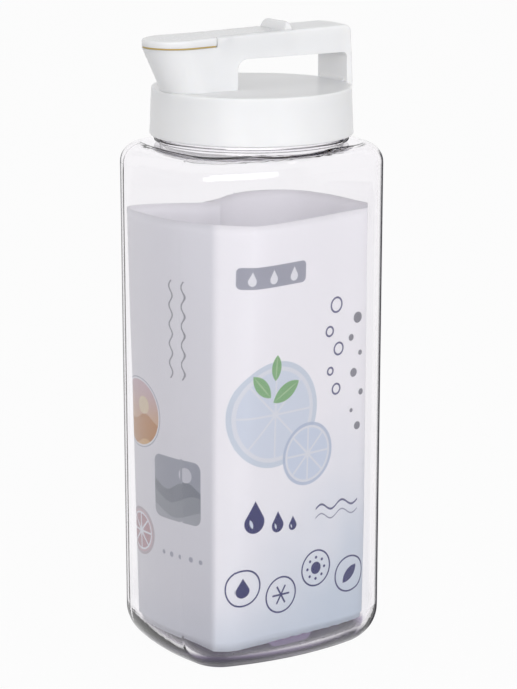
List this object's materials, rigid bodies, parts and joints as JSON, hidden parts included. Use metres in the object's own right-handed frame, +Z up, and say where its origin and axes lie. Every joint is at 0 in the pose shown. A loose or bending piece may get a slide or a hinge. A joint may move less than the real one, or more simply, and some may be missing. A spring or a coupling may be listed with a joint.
{
  "type": "water pitcher",
  "caption": "Clear rounded-square water jug with a screw lid, carrying handle, pouring spout under a one-touch see-saw lever, and a rolled display sheet inside.",
  "frame": {"origin": "centre of the jug's base, on the surface it stands on", "axes": "+Z up along the jug; the spout points along -X, the leg of the handle stands at +X, the long sides of the jug face +Y and -Y"},
  "size_m": [0.1126, 0.0968, 0.294],
  "materials": {
    "clear_plastic": "clear and glossy",
    "white_plastic": "satin gloss",
    "ochre_silicone": "matte",
    "gasket_silicone": "matte, translucent",
    "printed_paper": "printed, matte"
  },
  "bodies": {
    "jug": {"jug_body": "clear_plastic", "display_sheet": "printed_paper"},
    "gasket": {"lid_gasket": "gasket_silicone"},
    "lid": {"lid_shell": "white_plastic"},
    "lever": {"spout_lever": "white_plastic", "spout_seal": "ochre_silicone"}
  },
  "joints": [
    {"name": "lid_rise", "type": "slide", "parent": "jug", "child": "gasket", "axis": [0, 0, 1], "range_m": [0, 0.0245]},
    {"name": "lid_turn", "type": "hinge", "parent": "gasket", "child": "lid", "pos_m": [0, 0, 0.25], "axis": [0, 0, 1], "range_deg": [0, 720]},
    {"name": "lever_tilt", "type": "hinge", "parent": "lid", "child": "lever", "pos_m": [-0.0185, 0, 0.2873], "axis": [0, 1, 0], "range_deg": [0, 12]}
  ],
  "couplings": [
    {"joint": "lid_rise", "follows": "lid_turn", "m_per_rad": 0.0019099}
  ]
}
